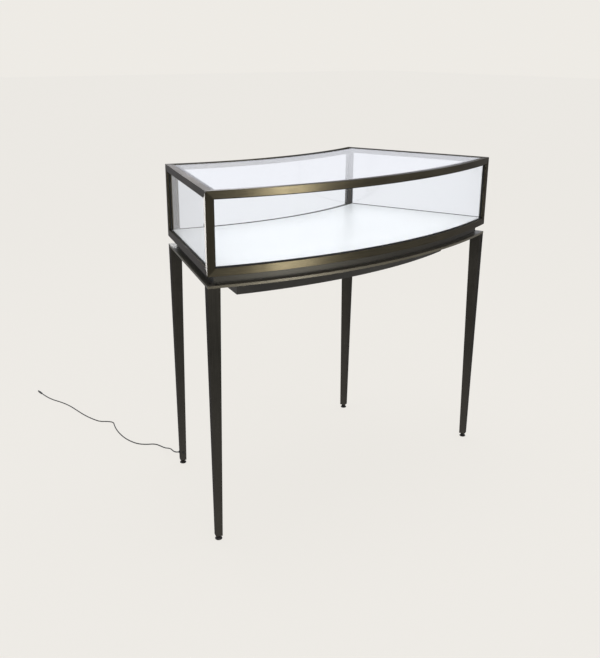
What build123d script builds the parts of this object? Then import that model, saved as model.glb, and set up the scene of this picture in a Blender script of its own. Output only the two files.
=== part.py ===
from build123d import *
import os
from math import asin, cos, degrees, pi, radians, sin, tan

# Glazed jewelry display table, curved in plan. Millimetres, +Z up, customer side towards -Y.
# Outline of the case in plan: two arcs about one centre, closed by two radial ends
outer_radius = 1500.0
inner_radius = 1020.0
half_angle = 20.0
overall_height = 930.0

# Heights of the case and of what carries it
case_height = 205.0
top_rail_height = 19.0
bottom_rail_height = 20.0
plinth_height = 22.5
base_plate_thickness = 6.5
foot_gap = 12.0

# Case frame sections
front_post_depth = 15.0
rear_post_depth = 21.0
post_width = 20.0
edge_chamfer = 0.5
top_ledge_width = 9.0
flange_reach = 45.0
flange_thickness = 6.0

# Glass and its seals
pane_setback = 6.0
pane_thickness = 5.0
gasket_wall = 1.0
groove_depth = 6.0
gasket_lip = 2.5
top_glass_thickness = 6.0
top_glass_sink = 0.8
top_tape_thickness = 1.0
top_glass_gap = 0.8

# Display deck
deck_thickness = 5.0
deck_rise = 1.5
deck_clearance = 0.4

# Rear door
door_glass_setback = 10.0
door_glass_thickness = 6.0
door_seal_wall = 1.0
door_end_gap = 1.2
stile_width = 6.5
stile_back_gap = 2.5
stile_groove = 3.5
stile_face_setback = 0.5
hinge_gap = 0.6
lock_gap = 1.2
swing_slack = 2.0
pivot_pin_radius = 1.5
pivot_engagement = 8.0
running_clearance = 0.05
washer_gap = 0.3
door_stop_height = 12.0
door_stop_reach = 12.0
door_stop_gap = 0.5

# Lock in the rear bottom rail
lock_inset = 117.0
lock_sleeve_radius = 6.5
lock_plug_radius = 4.0
lock_cam_thickness = 2.5
lock_cam_width = 7.0
lock_cam_reach = 16.5
lock_cam_setback = 4.4
strike_length = 22.0
strike_wall = 1.2
strike_lip = 2.0

# Base: plinth ring, plate, legs and feet
plinth_setback = 20.0
plinth_width = 18.0
leg_top_width = 32.0
leg_foot_width = 18.7
leg_lean = 3.6
leg_wall = 2.0
leg_cap_thickness = 6.0
leg_plug_thickness = 5.0
leg_edge_radius = 1.6
foot_pad_radius = 9.7
foot_pad_height = 5.6
stud_radius = 4.0
stud_length = 30.0
insert_radius = 6.0
insert_length = 14.0

# Electrical pan under the plate
pan_radius_front = 1405.0
pan_radius_rear = 1112.0
pan_half_angle = 16.0
pan_depth = 50.0
pan_wall = 1.5

# Lighting bar along the front top rail
bar_depth = 12.0
bar_height = 10.0
bar_wall = 1.2
bar_end_gap = 5.0

# Low-voltage cord
cord_radius = 1.8
cord_exit_height = 38.0
gland_length = 4.0
gland_radius = 4.6

# Levels and places that follow from the sizes above
case_top = overall_height
case_bottom = case_top - case_height
top_rail_bottom = case_top - top_rail_height
bottom_rail_top = case_bottom + bottom_rail_height
plate_top = case_bottom - plinth_height
plate_bottom = plate_top - base_plate_thickness
pan_bottom = plate_bottom - pan_depth
deck_top = bottom_rail_top + deck_rise
deck_bottom = deck_top - deck_thickness
substrate_bottom = case_bottom + flange_thickness
groove_start = pane_setback - gasket_wall
groove_end = pane_setback + pane_thickness + gasket_wall
ledge_top = case_top - top_glass_sink - top_glass_thickness - top_tape_thickness
end_rail_width = post_width
bar_end_inset = end_rail_width + top_ledge_width + bar_end_gap
centre_y = (outer_radius + inner_radius * cos(radians(half_angle))) / 2
phi = radians(half_angle)
end_margin = 3.0
wide = 4000.0
LEFT, RIGHT = -1, 1

os.makedirs("parts", exist_ok=True)


def write(name, *shapes):
    """Moves the shapes from the arc's centre to the table's own origin and writes one node."""
    placed = [shape.moved(Location((0, centre_y, 0))) for shape in shapes]
    solids = [solid for shape in placed for solid in shape.solids()]
    export_step(Compound(children=solids) if len(solids) > 1 else solids[0], f"parts/{name}.step")


# Places in plan, measured from the outline
def on_arc(radius, side, inset):
    """Point on a circle at a distance inside the end line of that side."""
    angle = phi - asin(inset / radius)
    return (side * radius * sin(angle), -radius * cos(angle))


def corner_axes(side, rear):
    """Outer corner of the outline, with unit vectors along the face and into the table."""
    out = Vector(side * sin(phi), -cos(phi), 0)
    across = Vector(-side * cos(phi), -sin(phi), 0)
    radius = inner_radius if rear else outer_radius
    deep = out if rear else -out
    return out * radius, across, deep


def at_corner(side, rear, inset, depth, height=0.0):
    """Point at an inset from the end and a depth from the front or rear face."""
    corner, across, deep = corner_axes(side, rear)
    point = corner + across * inset + deep * depth
    return Vector(point.X, point.Y, height)


def corner_plate(side, rear, outline, low, high):
    """Prism whose plan is a polygon of (inset, depth) pairs at one corner."""
    points = [at_corner(side, rear, inset, depth, low) for inset, depth in outline]
    face = Face(Wire.make_polygon(points, close=True))
    return extrude(face, amount=high - low, dir=(0, 0, 1))


def corner_block(side, rear, inset0, inset1, depth0, depth1, low, high):
    """Box at one corner, between two insets and two depths."""
    outline = [(inset0, depth0), (inset1, depth0), (inset1, depth1), (inset0, depth1)]
    return corner_plate(side, rear, outline, low, high)


def corner_rod(side, rear, inset, depth, radius, low, high):
    """Upright cylinder at one corner."""
    centre = at_corner(side, rear, inset, depth, low)
    return extrude(Plane(centre) * Circle(radius), amount=high - low)


def arc_plate(radius_out, radius_in, left, right, low, high):
    """Curved plate between two circles whose ends lie at insets from the two end lines."""
    outer_left, outer_right = on_arc(radius_out, LEFT, left), on_arc(radius_out, RIGHT, right)
    inner_left, inner_right = on_arc(radius_in, LEFT, left), on_arc(radius_in, RIGHT, right)
    outline = [
        ThreePointArc(outer_left, (0, -radius_out), outer_right),
        Line(outer_right, inner_right),
        ThreePointArc(inner_right, (0, -radius_in), inner_left),
        Line(inner_left, outer_left),
    ]
    return Pos(0, 0, low) * extrude(make_face(outline), amount=high - low)


def fan_plate(radius_out, radius_in, angle, low, high):
    """Curved plate with truly radial ends at plus and minus an angle."""
    left = Vector(-sin(radians(angle)), -cos(radians(angle)), 0)
    right = Vector(sin(radians(angle)), -cos(radians(angle)), 0)
    outline = [
        ThreePointArc(left * radius_out, (0, -radius_out), right * radius_out),
        Line(right * radius_out, right * radius_in),
        ThreePointArc(right * radius_in, (0, -radius_in), left * radius_in),
        Line(left * radius_in, left * radius_out),
    ]
    return Pos(0, 0, low) * extrude(make_face(outline), amount=high - low)


def curved_bar(rear, profile):
    """Bar that follows the front or rear arc, from a profile of (depth, height) pairs."""
    radius = inner_radius if rear else outer_radius
    sign = 1 if rear else -1
    points = [(radius + sign * depth, 0, height) for depth, height in profile]
    span = 2 * (half_angle + end_margin)
    bar = revolve(Face(Wire.make_polygon(points, close=True)), axis=Axis.Z, revolution_arc=span)
    return Rot(0, 0, -90 - span / 2) * bar


def end_bar(side, profile):
    """Straight bar along one end, from a profile of (inset, height) pairs."""
    out = Vector(side * sin(phi), -cos(phi), 0)
    across = Vector(-side * cos(phi), -sin(phi), 0)
    start = out * (inner_radius - end_margin * 4)
    points = [start + across * inset + Vector(0, 0, height) for inset, height in profile]
    length = outer_radius - inner_radius + end_margin * 8
    return extrude(Face(Wire.make_polygon(points, close=True)), amount=length, dir=out)


def keep_side(shape, point, normal):
    """The part of a shape on the side of a plane that its normal points to."""
    return split(shape, bisect_by=Plane(origin=point, z_dir=normal), keep=Keep.TOP)


def mitred(shape, side, rear, top, owner):
    """Cuts one frame member at one corner, so that two rails and the post meet in three mitres.

    The corner cell is shared out by its three scaled distances: each member keeps the part
    in which the distance along its own length is the largest.
    """
    corner, across, deep = corner_axes(side, rear)
    level = case_top if top else case_bottom
    point = Vector(corner.X, corner.Y, level)
    post_depth = rear_post_depth if rear else front_post_depth
    distance = {
        "arc": across * (1 / post_width),
        "end": deep * (1 / post_depth),
        "post": Vector(0, 0, -1 / top_rail_height if top else 1 / bottom_rail_height),
    }
    for other in distance:
        if other != owner:
            shape = keep_side(shape, point, distance[owner] - distance[other])
    return shape


# Case frame: four posts, four top rails and four bottom rails, mitred at all eight corners
def top_profile(metal):
    """Section of a top rail: outer strip, then a lower ledge for the top glass."""
    c = edge_chamfer
    ledge = metal + top_ledge_width
    outline = [(c, case_top), (metal - c, case_top), (metal, case_top - c), (metal, ledge_top)]
    outline += [(ledge, ledge_top), (ledge, top_rail_bottom)]
    return outline + [(c, top_rail_bottom), (0, top_rail_bottom + c), (0, case_top - c)]


def bottom_profile(metal, glazed):
    """Section of a bottom rail: outer strip, seat for the deck and flange for the board."""
    c = edge_chamfer
    outline = [(c, case_bottom), (flange_reach, case_bottom), (flange_reach, substrate_bottom)]
    outline += [(metal, substrate_bottom)]
    if glazed:
        outline += [(metal, deck_bottom), (groove_end, deck_bottom), (groove_end, bottom_rail_top)]
    else:
        outline += [(metal, bottom_rail_top)]
    return outline + [(c, bottom_rail_top), (0, bottom_rail_top - c), (0, case_bottom + c)]


def frame_rail(rear_or_side, top):
    """One rail, already mitred at both of its ends."""
    if rear_or_side in ("front", "rear"):
        rear = rear_or_side == "rear"
        depth = rear_post_depth if rear else front_post_depth
        rail = curved_bar(rear, top_profile(depth) if top else bottom_profile(depth, not rear))
        for side in (LEFT, RIGHT):
            rail = mitred(rail, side, rear, top, "arc")
        return grooved(rail)
    side = LEFT if rear_or_side == "left" else RIGHT
    rail = end_bar(side, top_profile(end_rail_width) if top else bottom_profile(end_rail_width, True))
    for rear in (False, True):
        rail = mitred(rail, side, rear, top, "end")
    return grooved(rail)


def frame_post(side, rear):
    """Corner post with the grooves of the two panes that end in it."""
    depth = rear_post_depth if rear else front_post_depth
    c = edge_chamfer
    outline = [(c, 0), (post_width - c, 0), (post_width, c), (post_width, depth)]
    outline += [(c, depth), (0, depth - c), (0, c)]
    post = corner_plate(side, rear, outline, case_bottom, case_top)
    for top in (False, True):
        post = mitred(post, side, rear, top, "post")
    return grooved(post)


side_names = {LEFT: "left", RIGHT: "right"}
end_names = {False: "front", True: "rear"}


# Fixed glass: curved front pane, two flat end panes, and their one-piece seals
pane_low = bottom_rail_top - groove_depth + gasket_wall
pane_high = top_rail_bottom + groove_depth - gasket_wall
pane_edge = post_width - groove_depth + gasket_wall
front_glass = arc_plate(
    outer_radius - pane_setback,
    outer_radius - pane_setback - pane_thickness,
    pane_edge,
    pane_edge,
    pane_low,
    pane_high,
)
seal_opening = post_width + gasket_lip
front_slot = arc_plate(
    outer_radius - groove_start,
    outer_radius - groove_end,
    pane_edge - gasket_wall,
    pane_edge - gasket_wall,
    pane_low - gasket_wall,
    pane_high + gasket_wall,
)
front_seal = front_slot - arc_plate(
    outer_radius - groove_start + 1,
    outer_radius - groove_end - 1,
    seal_opening,
    seal_opening,
    bottom_rail_top + gasket_lip,
    top_rail_bottom - gasket_lip,
)
front_seal -= front_glass
write("front_glass", front_glass)
write("front_glass_seal", front_seal)


def end_slab(side, inset0, inset1, front_depth, rear_depth, low, high):
    """Flat upright slab along one end, between a front depth and a rear depth."""
    points = [
        at_corner(side, False, inset0, front_depth, low),
        at_corner(side, False, inset1, front_depth, low),
        at_corner(side, True, inset1, rear_depth, low),
        at_corner(side, True, inset0, rear_depth, low),
    ]
    return extrude(Face(Wire.make_polygon(points, close=True)), amount=high - low, dir=(0, 0, 1))


end_slots, end_seals = [], []
for side in (LEFT, RIGHT):
    front_edge = front_post_depth - groove_depth + gasket_wall
    rear_edge = rear_post_depth - groove_depth + gasket_wall
    pane_back = pane_setback + pane_thickness
    pane = end_slab(side, pane_setback, pane_back, front_edge, rear_edge, pane_low, pane_high)
    slot = end_slab(
        side,
        groove_start,
        groove_end,
        front_edge - gasket_wall,
        rear_edge - gasket_wall,
        pane_low - gasket_wall,
        pane_high + gasket_wall,
    )
    seal = slot - end_slab(
        side,
        groove_start - 1,
        groove_end + 1,
        front_post_depth + gasket_lip,
        rear_post_depth + gasket_lip,
        bottom_rail_top + gasket_lip,
        top_rail_bottom - gasket_lip,
    )
    end_slots.append(slot)
    end_seals.append(seal - pane)
    write(f"{side_names[side]}_glass", pane)
write("end_glass_seals", *end_seals)


def grooved(member):
    """A frame member with the grooves that the panes and their seals sit in."""
    for slot in (front_slot, *end_slots):
        member -= slot
    return member

# Top glass on a bonding tape, sunk in the rebate of the top rails
glass_front = outer_radius - front_post_depth - top_glass_gap
glass_rear = inner_radius + rear_post_depth + top_glass_gap
glass_end = end_rail_width + top_glass_gap
top_glass_bottom = ledge_top + top_tape_thickness
top_glass = arc_plate(
    glass_front, glass_rear, glass_end, glass_end, top_glass_bottom, top_glass_bottom + top_glass_thickness
)
top_tape = arc_plate(glass_front, glass_rear, glass_end, glass_end, ledge_top, top_glass_bottom)
tape_width = top_ledge_width - top_glass_gap
top_tape -= arc_plate(
    glass_front - tape_width,
    glass_rear + tape_width,
    glass_end + tape_width,
    glass_end + tape_width,
    ledge_top - 1,
    top_glass_bottom + 1,
)
write("top_glass", top_glass)
write("top_glass_tape", top_tape)

# Lock: sleeve in the rear bottom rail, plug with a cam that rises behind the door's strike
lock_angle = phi - asin(lock_inset / inner_radius)
lock_out = Vector(LEFT * sin(lock_angle), -cos(lock_angle), 0)
lock_along = Vector(-LEFT * cos(lock_angle), -sin(lock_angle), 0)
lock_height = case_bottom + bottom_rail_height / 2
lock_centre = lock_out * inner_radius + Vector(0, 0, lock_height)


def lock_rod(radius, start, end):
    """Cylinder on the lock's axis, between two depths from the rail's rear face."""
    plane = Plane(origin=lock_centre + lock_out * start, z_dir=lock_out)
    return extrude(plane * Circle(radius), amount=end - start)


def lock_block(along0, along1, start, end, low, high):
    """Box about the lock's axis: along the rail, in depth, and above or below the axis."""
    corners = [(along0, low), (along1, low), (along1, high), (along0, high)]
    base = lock_centre + lock_out * start
    points = [base + lock_along * along + Vector(0, 0, height) for along, height in corners]
    return extrude(Face(Wire.make_polygon(points, close=True)), amount=end - start, dir=lock_out)


cam_clearance = 0.4
cam_back = lock_cam_setback
cam_front = lock_cam_setback + lock_cam_thickness
half_cam = lock_cam_width / 2
sleeve_end = rear_post_depth - 2.0
lock_slot = lock_block(
    -half_cam - cam_clearance,
    lock_cam_reach + 2 * cam_clearance,
    cam_back - cam_clearance,
    cam_front + cam_clearance,
    -half_cam - cam_clearance,
    bottom_rail_height,
)
sleeve = lock_rod(lock_sleeve_radius, -1.0, sleeve_end)
sleeve -= lock_rod(lock_plug_radius + running_clearance, -2.0, sleeve_end - 1.0)
sleeve -= lock_block(
    -lock_sleeve_radius - 1,
    lock_sleeve_radius + 1,
    cam_back - cam_clearance,
    cam_front + cam_clearance,
    -half_cam - cam_clearance,
    lock_sleeve_radius + 1,
)
plug = lock_rod(lock_plug_radius, -1.6, sleeve_end - 1.2)
key_slot = lock_block(-2.6, 2.6, -2.0, 0.4, -0.6, 0.6)
cam = lock_block(0, lock_cam_reach - half_cam, cam_back, cam_front, -half_cam, half_cam)
cam += Pos(lock_along * (lock_cam_reach - half_cam)) * lock_rod(half_cam, cam_back, cam_front)
write("lock_sleeve", sleeve)
write("lock_plug", plug - key_slot + cam)

# Pivot line of the door, from the right-hand end line and the rear face
hinge_inset = post_width + hinge_gap + stile_width / 2
hinge_depth = stile_face_setback + stile_width / 2
pin_hole_depth = 7.0
# Rear door: curved pane between two upright stiles, turning on pins at the right-hand stile
door_low = bottom_rail_top + washer_gap + 0.9
door_high = top_rail_bottom - washer_gap - 0.9
stile_back = rear_post_depth - stile_back_gap
seal_start = door_glass_setback - door_seal_wall
seal_end = door_glass_setback + door_glass_thickness + door_seal_wall
hinge_edge = post_width + hinge_gap + stile_width
lock_slope = tan(radians(half_angle + swing_slack))
lock_edge = post_width + lock_gap
lock_inner = lock_edge + stile_width


def lock_side(depth, inset):
    """Inset of a line that runs back with the door's swing, so that the edge clears the post."""
    return inset + lock_slope * depth


def lock_stile_plate(inset0, inset1, depth0, depth1, low, high):
    """Prism at the free end of the door, its two side faces parallel to the swing."""
    outline = [
        (lock_side(depth0, inset0), depth0),
        (lock_side(depth0, inset1), depth0),
        (lock_side(depth1, inset1), depth1),
        (lock_side(depth1, inset0), depth1),
    ]
    return corner_plate(LEFT, True, outline, low, high)


def hinge_stile_solid():
    """Stile with a full round rear edge about the pivot and a groove for the glass."""
    start = post_width + hinge_gap
    stile = corner_block(RIGHT, True, start, hinge_edge, hinge_depth, stile_back, door_low, door_high)
    stile += corner_rod(RIGHT, True, hinge_inset, hinge_depth, stile_width / 2, door_low, door_high)
    stile -= seal_slot
    radius = pivot_pin_radius + running_clearance
    bores = [(door_low - 1, door_low + pivot_engagement), (door_high - pivot_engagement, door_high + 1)]
    for low, high in bores:
        stile -= corner_rod(RIGHT, True, hinge_inset, hinge_depth, radius, low, high)
    return stile




def door_pane(depth0, depth1, low, high, trim):
    """Curved slab between the grooves of the two stiles, shorter by a trim at each end."""
    slab = arc_plate(inner_radius + depth1, inner_radius + depth0, 1.0, 1.0, low, high)
    hinge_end = hinge_edge - stile_groove + trim
    lock_end = lock_inner - stile_groove + trim
    slab -= corner_block(RIGHT, True, -40, hinge_end, depth0 - 30, depth1 + 30, low - 1, high + 1)
    slab -= lock_stile_plate(-60, lock_end, depth0 - 30, depth1 + 30, low - 1, high + 1)
    return slab


glass_low = door_low + door_end_gap
glass_high = door_high - door_end_gap
glass_back = door_glass_setback + door_glass_thickness
door_glass = door_pane(door_glass_setback, glass_back, glass_low, glass_high, door_seal_wall)
seal_show = 0.8
seal_body = door_pane(seal_start, seal_end, glass_low, glass_high, 0.0)
seal_body -= door_pane(
    seal_start - 1, seal_end + 1, glass_low - 1, glass_high + 1, stile_groove + seal_show
)
seal_body -= door_glass
seal_slot = door_pane(seal_start, seal_end, door_low - 1, door_high + 1, 0.0)
lock_stile = lock_stile_plate(lock_edge, lock_inner, stile_face_setback, stile_back, door_low, door_high)
write("door_glass", door_glass)
write("door_glass_seals", seal_body)
write("door_hinge_stile", hinge_stile_solid())
write("door_lock_stile", lock_stile - seal_slot)

# Pull: upright bar on the rear face of the free stile
pull_height = 44.0
pull_depth = 7.5
pull_middle = (door_low + door_high) / 2
pull = lock_stile_plate(
    lock_edge + 1.2,
    lock_inner - 1.2,
    stile_face_setback - pull_depth,
    stile_face_setback,
    pull_middle - pull_height / 2,
    pull_middle + pull_height / 2,
)
pull -= lock_stile_plate(
    lock_edge,
    lock_inner,
    stile_face_setback - pull_depth + 2.5,
    stile_face_setback + 1,
    pull_middle - pull_height / 2 + 5,
    pull_middle + pull_height / 2 - 5,
)
write("door_pull", pull)

# Pivot pins, each with a collar that the door turns on, pressed into the rear rails
collar_radius = stile_width / 2 - 0.3
pins = []
for top in (False, True):
    face = top_rail_bottom if top else bottom_rail_top
    step = -1 if top else 1
    spans = [
        (pivot_pin_radius, -pin_hole_depth + 0.5, 0.9 + washer_gap + pivot_engagement - 0.5),
        (collar_radius, 0.0, 0.9),
    ]
    pin = None
    for radius, start, end in spans:
        low, high = sorted((face + step * start, face + step * end))
        rod = corner_rod(RIGHT, True, hinge_inset, hinge_depth, radius, low, high)
        pin = rod if pin is None else pin + rod
    pins.append(pin)
write("door_pivot_pins", *pins)

# Rubber stops on the left rear post, just inside the closed door's free stile
stop_depth = stile_back + door_stop_gap
stops = []
for low in (bottom_rail_top, top_rail_bottom - door_stop_height):
    outline = [(post_width, stop_depth), (post_width + door_stop_reach, stop_depth)]
    outline += [(post_width + door_stop_reach, rear_post_depth + 1.5), (post_width, rear_post_depth + 1.5)]
    stops.append(corner_plate(LEFT, True, outline, low, low + door_stop_height))
write("door_stops", *stops)

# Strike: clip on the lower edge of the door glass, where the cam rises behind it
strike_gap = 0.3
strike_bottom = glass_low - strike_gap - strike_wall
strike = lock_block(
    -strike_length / 2,
    strike_length / 2,
    door_glass_setback - strike_gap - strike_lip,
    glass_back + strike_gap + strike_wall,
    strike_bottom - lock_height,
    glass_low + 8 - lock_height,
)
strike -= arc_plate(
    inner_radius + glass_back + strike_gap,
    inner_radius + door_glass_setback - strike_gap,
    1.0,
    1.0,
    glass_low - strike_gap,
    glass_low + 20,
)
write("door_strike", strike)


# Floor of the case: board on the flanges and white deck over it
def floor_panel(front, end, rear, notch_clearance, low, high):
    """Panel inside the case, cut back round the four posts."""
    panel = arc_plate(outer_radius - front, inner_radius + rear, end, end, low, high)
    for side in (LEFT, RIGHT):
        for is_rear in (False, True):
            depth = rear_post_depth if is_rear else front_post_depth
            width = post_width + notch_clearance
            panel -= corner_block(side, is_rear, -5, width, -5, depth + notch_clearance, low - 1, high + 1)
    return panel


deck = floor_panel(
    groove_end + deck_clearance,
    groove_end + deck_clearance,
    rear_post_depth + door_stop_gap + 2.0,
    deck_clearance,
    deck_bottom,
    deck_top,
)
board = floor_panel(
    front_post_depth + deck_clearance,
    end_rail_width + deck_clearance,
    rear_post_depth + deck_clearance,
    deck_clearance,
    substrate_bottom,
    deck_bottom,
)


# Lead of the lighting bar: down beside the front left post, under the deck, through board and plate
lead_radius = 1.2
lead_play = 0.5
lead_inset, lead_depth = post_width - 3.0, front_post_depth + 2.5
lead_span = 45.0
lead_level = deck_bottom - lead_radius - lead_play


def straight_rod(start, end, radius):
    """Cylinder between two points."""
    direction = end - start
    return extrude(Plane(origin=start, z_dir=direction) * Circle(radius), amount=direction.length)


lead_turn = at_corner(LEFT, False, lead_inset, lead_depth, lead_level)
board_inset, board_depth = lead_inset + lead_span, lead_depth + lead_span
lead_board = at_corner(LEFT, False, board_inset, board_depth, lead_level)
lead_hole = corner_rod(
    LEFT, False, lead_inset, lead_depth, lead_radius + lead_play, deck_bottom - 1, deck_top + 1
)
channel_half = lead_radius + lead_play
channel_inset, channel_depth = lead_inset - 2 * channel_half, lead_depth - 2 * channel_half
lead_channel = corner_plate(
    LEFT,
    False,
    [
        (channel_inset + channel_half, channel_depth - channel_half),
        (board_inset + channel_half, board_depth - channel_half),
        (board_inset - channel_half, board_depth + channel_half),
        (channel_inset - channel_half, channel_depth + channel_half),
    ],
    lead_level - channel_half,
    deck_bottom + 1,
)
board_hole = corner_rod(LEFT, False, board_inset, board_depth, channel_half, plate_bottom - 1, lead_level)
write("deck_panel", deck - lead_hole)
write("deck_board", board - lead_channel - board_hole)

# Lighting bar: channel, strip and diffuser, hung from the front top rail's ledge
bar_front = outer_radius - front_post_depth - top_ledge_width
bar_top = ledge_top - 0.6
bar_low = bar_top - bar_height
bar = arc_plate(bar_front, bar_front - bar_depth, bar_end_inset, bar_end_inset, bar_low, bar_top)
bar -= arc_plate(
    bar_front - bar_wall,
    bar_front - bar_depth + bar_wall,
    bar_end_inset - 1,
    bar_end_inset - 1,
    bar_low - 1,
    bar_top - bar_wall,
)
strip_thickness = 1.4
strip = arc_plate(
    bar_front - bar_wall - 0.5,
    bar_front - bar_depth + bar_wall + 0.5,
    bar_end_inset + 4,
    bar_end_inset + 4,
    bar_top - bar_wall - strip_thickness,
    bar_top - bar_wall,
)
diffuser = arc_plate(
    bar_front - bar_wall,
    bar_front - bar_depth + bar_wall,
    bar_end_inset,
    bar_end_inset,
    bar_low,
    bar_low + 1.6,
)
write("light_channel", bar)
write("light_strip", strip)
write("light_diffuser", diffuser)

# Plinth: four bars on the base plate, mitred in plan
plinth_inner = plinth_setback + plinth_width


def plinth_bar(where):
    """One bar of the plinth ring."""
    if where in ("front", "rear"):
        rear = where == "rear"
        profile = [(plinth_setback, plate_top), (plinth_inner, plate_top)]
        profile += [(plinth_inner, case_bottom), (plinth_setback, case_bottom)]
        bar = curved_bar(rear, profile)
        for side in (LEFT, RIGHT):
            corner, across, deep = corner_axes(side, rear)
            bar = keep_side(bar, corner, across - deep)
        return bar
    side = LEFT if where == "left" else RIGHT
    profile = [(plinth_setback, plate_top), (plinth_inner, plate_top)]
    profile += [(plinth_inner, case_bottom), (plinth_setback, case_bottom)]
    bar = end_bar(side, profile)
    for rear in (False, True):
        corner, across, deep = corner_axes(side, rear)
        bar = keep_side(bar, corner, deep - across)
    return bar


# Bolts that clamp the case to the plate through the plinth, heads under the plate
bolt_radius = 3.0
bolt_head_radius = 5.2
bolt_head_height = 3.2
bolt_depth = plinth_setback + plinth_width / 2
arc_bolt_insets = (110.0, 330.0)
bolt_places = []
for side in (LEFT, RIGHT):
    for inset in arc_bolt_insets:
        bolt_places.append(Vector(*on_arc(outer_radius - bolt_depth, side, inset), 0))
    for inset in (arc_bolt_insets[0] * 0.8, arc_bolt_insets[1] * 0.75):
        bolt_places.append(Vector(*on_arc(inner_radius + bolt_depth, side, inset), 0))
    for depth in (150.0, 330.0):
        bolt_places.append(at_corner(side, False, bolt_depth, depth))


def rod_at(place, radius, low, high):
    """Upright cylinder at a place in plan."""
    return extrude(Plane(Vector(place.X, place.Y, low)) * Circle(radius), amount=high - low)


bolts = []
for place in bolt_places:
    shank = rod_at(place, bolt_radius, plate_bottom, substrate_bottom - 0.5)
    head = rod_at(place, bolt_head_radius, plate_bottom - bolt_head_height, plate_bottom)
    head = chamfer(head.edges().filter_by(GeomType.CIRCLE).sort_by(Axis.Z)[0], 0.8)
    socket = Plane(Vector(place.X, place.Y, plate_bottom - bolt_head_height - 1)) * RegularPolygon(2.3, 6)
    bolts.append(head + shank - extrude(socket, amount=2.6))
write("case_bolts", *bolts)

bolt_clearance = 0.25


def drilled(shape, low, high):
    """The shape with clearance holes where case bolts pass through it."""
    box = shape.bounding_box()
    for place in bolt_places:
        if box.min.X < place.X < box.max.X and box.min.Y < place.Y < box.max.Y:
            shape -= rod_at(place, bolt_radius + bolt_clearance, low, high)
    return shape


for where in ("front", "rear", "left", "right"):
    write(f"plinth_{where}", drilled(plinth_bar(where), plate_top - 1, case_bottom + 1))


def tapped(rail):
    """A bottom rail with the blind holes that the case bolts screw into."""
    for place in bolt_places:
        rail -= rod_at(place, bolt_radius, case_bottom - 1, substrate_bottom - 0.5)
    return rail


# Frame members, with the cut-outs for lock, door pivots and lead
for where in ("front", "rear", "left", "right"):
    for top in (False, True):
        rail = frame_rail(where, top)
        if not top:
            rail = tapped(rail)
        if where == "left" and not top:
            rail -= lead_channel
        if where == "rear":
            low = top_rail_bottom if top else bottom_rail_top - pin_hole_depth
            high = low + pin_hole_depth
            rail -= corner_rod(RIGHT, True, hinge_inset, hinge_depth, pivot_pin_radius, low, high)
            if not top:
                rail -= lock_slot
                rail -= lock_rod(lock_sleeve_radius, -1.0, sleeve_end)
        write(f"{'top' if top else 'bottom'}_rail_{where}", rail)
for side in (LEFT, RIGHT):
    for rear in (False, True):
        write(f"corner_post_{end_names[rear]}_{side_names[side]}", frame_post(side, rear))


# Legs: closed tapered tubes with a cap at the top and a plug at the bottom
leg_top = plate_bottom
leg_bottom = foot_gap


def leg_square(height, trim):
    """Near and far edge of the leg's section at a height, less a wall."""
    share = (leg_top - height) / (leg_top - leg_bottom)
    near = leg_lean * share
    width = leg_top_width + (leg_foot_width - leg_top_width) * share
    return near + trim, near + width - trim


def tapered_block(side, rear, trim, low, high):
    """Six-sided block between two squares of the leg's taper."""
    rings = []
    for height in (low, high):
        near, far = leg_square(height, trim)
        pairs = [(near, near), (far, near), (far, far), (near, far)]
        rings.append([at_corner(side, rear, inset, depth, height) for inset, depth in pairs])
    bottom, top = rings
    faces = [Face(Wire.make_polygon(ring, close=True)) for ring in rings]
    for i in range(4):
        j = (i + 1) % 4
        faces.append(Face(Wire.make_polygon([bottom[i], bottom[j], top[j], top[i]], close=True)))
    return Solid(Shell(faces)).fix()


foot_middle = sum(leg_square(leg_bottom, 0)) / 2
cable_run_height = plate_bottom - 14.0
cable_hole_radius = 3.2
leg_screw_places = ((9.5, 22.5), (22.5, 9.5))
leg_screw_radius = 3.0
leg_screw_head = 5.4


def leg_solid(side, rear):
    """One leg with its hollow, foot hole, screw holes and any cable holes."""
    leg = tapered_block(side, rear, 0.0, leg_bottom, leg_top)
    upright = [edge for edge in leg.edges() if abs(edge.tangent_at(0.5).Z) > 0.9]
    leg = fillet(upright, leg_edge_radius)
    low, high = leg_bottom + leg_plug_thickness, leg_top - leg_cap_thickness
    leg -= tapered_block(side, rear, leg_wall, low, high)
    leg -= corner_rod(side, rear, foot_middle, foot_middle, insert_radius, leg_bottom - 1, low + 1)
    for inset, depth in leg_screw_places:
        leg -= corner_rod(side, rear, inset, depth, leg_screw_radius, leg_top - 7, leg_top + 1)
    if side == LEFT and rear:
        leg -= gland_rod(cable_hole_radius, -4.0, leg_wall + 3.0)
        leg -= run_rod(cable_hole_radius, foot_middle, leg_top_width + 3)
        leg -= side_screw_rod(clamp_screw_radius, -2.0, leg_wall + 2.0)
    return leg


# Cable route: up inside the rear left leg, then under the plate to the pan
exit_near, exit_far = leg_square(cord_exit_height, 0)
exit_depth = (exit_near + exit_far) / 2
rear_left_corner, rear_left_across, rear_left_deep = corner_axes(LEFT, True)
run_near, run_far = leg_square(cable_run_height, 0)
clamp_screw_radius = 2.0


def gland_rod(radius, start, end):
    """Cylinder on the cord exit's axis, from outside the leg's end face inwards."""
    origin = at_corner(LEFT, True, exit_near + start, exit_depth, cord_exit_height)
    return extrude(Plane(origin=origin, z_dir=rear_left_across) * Circle(radius), amount=end - start)


def run_rod(radius, start, end):
    """Cylinder along the cable's level run from the leg towards the pan."""
    origin = at_corner(LEFT, True, start, foot_middle, cable_run_height)
    return extrude(Plane(origin=origin, z_dir=rear_left_across) * Circle(radius), amount=end - start)


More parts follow.
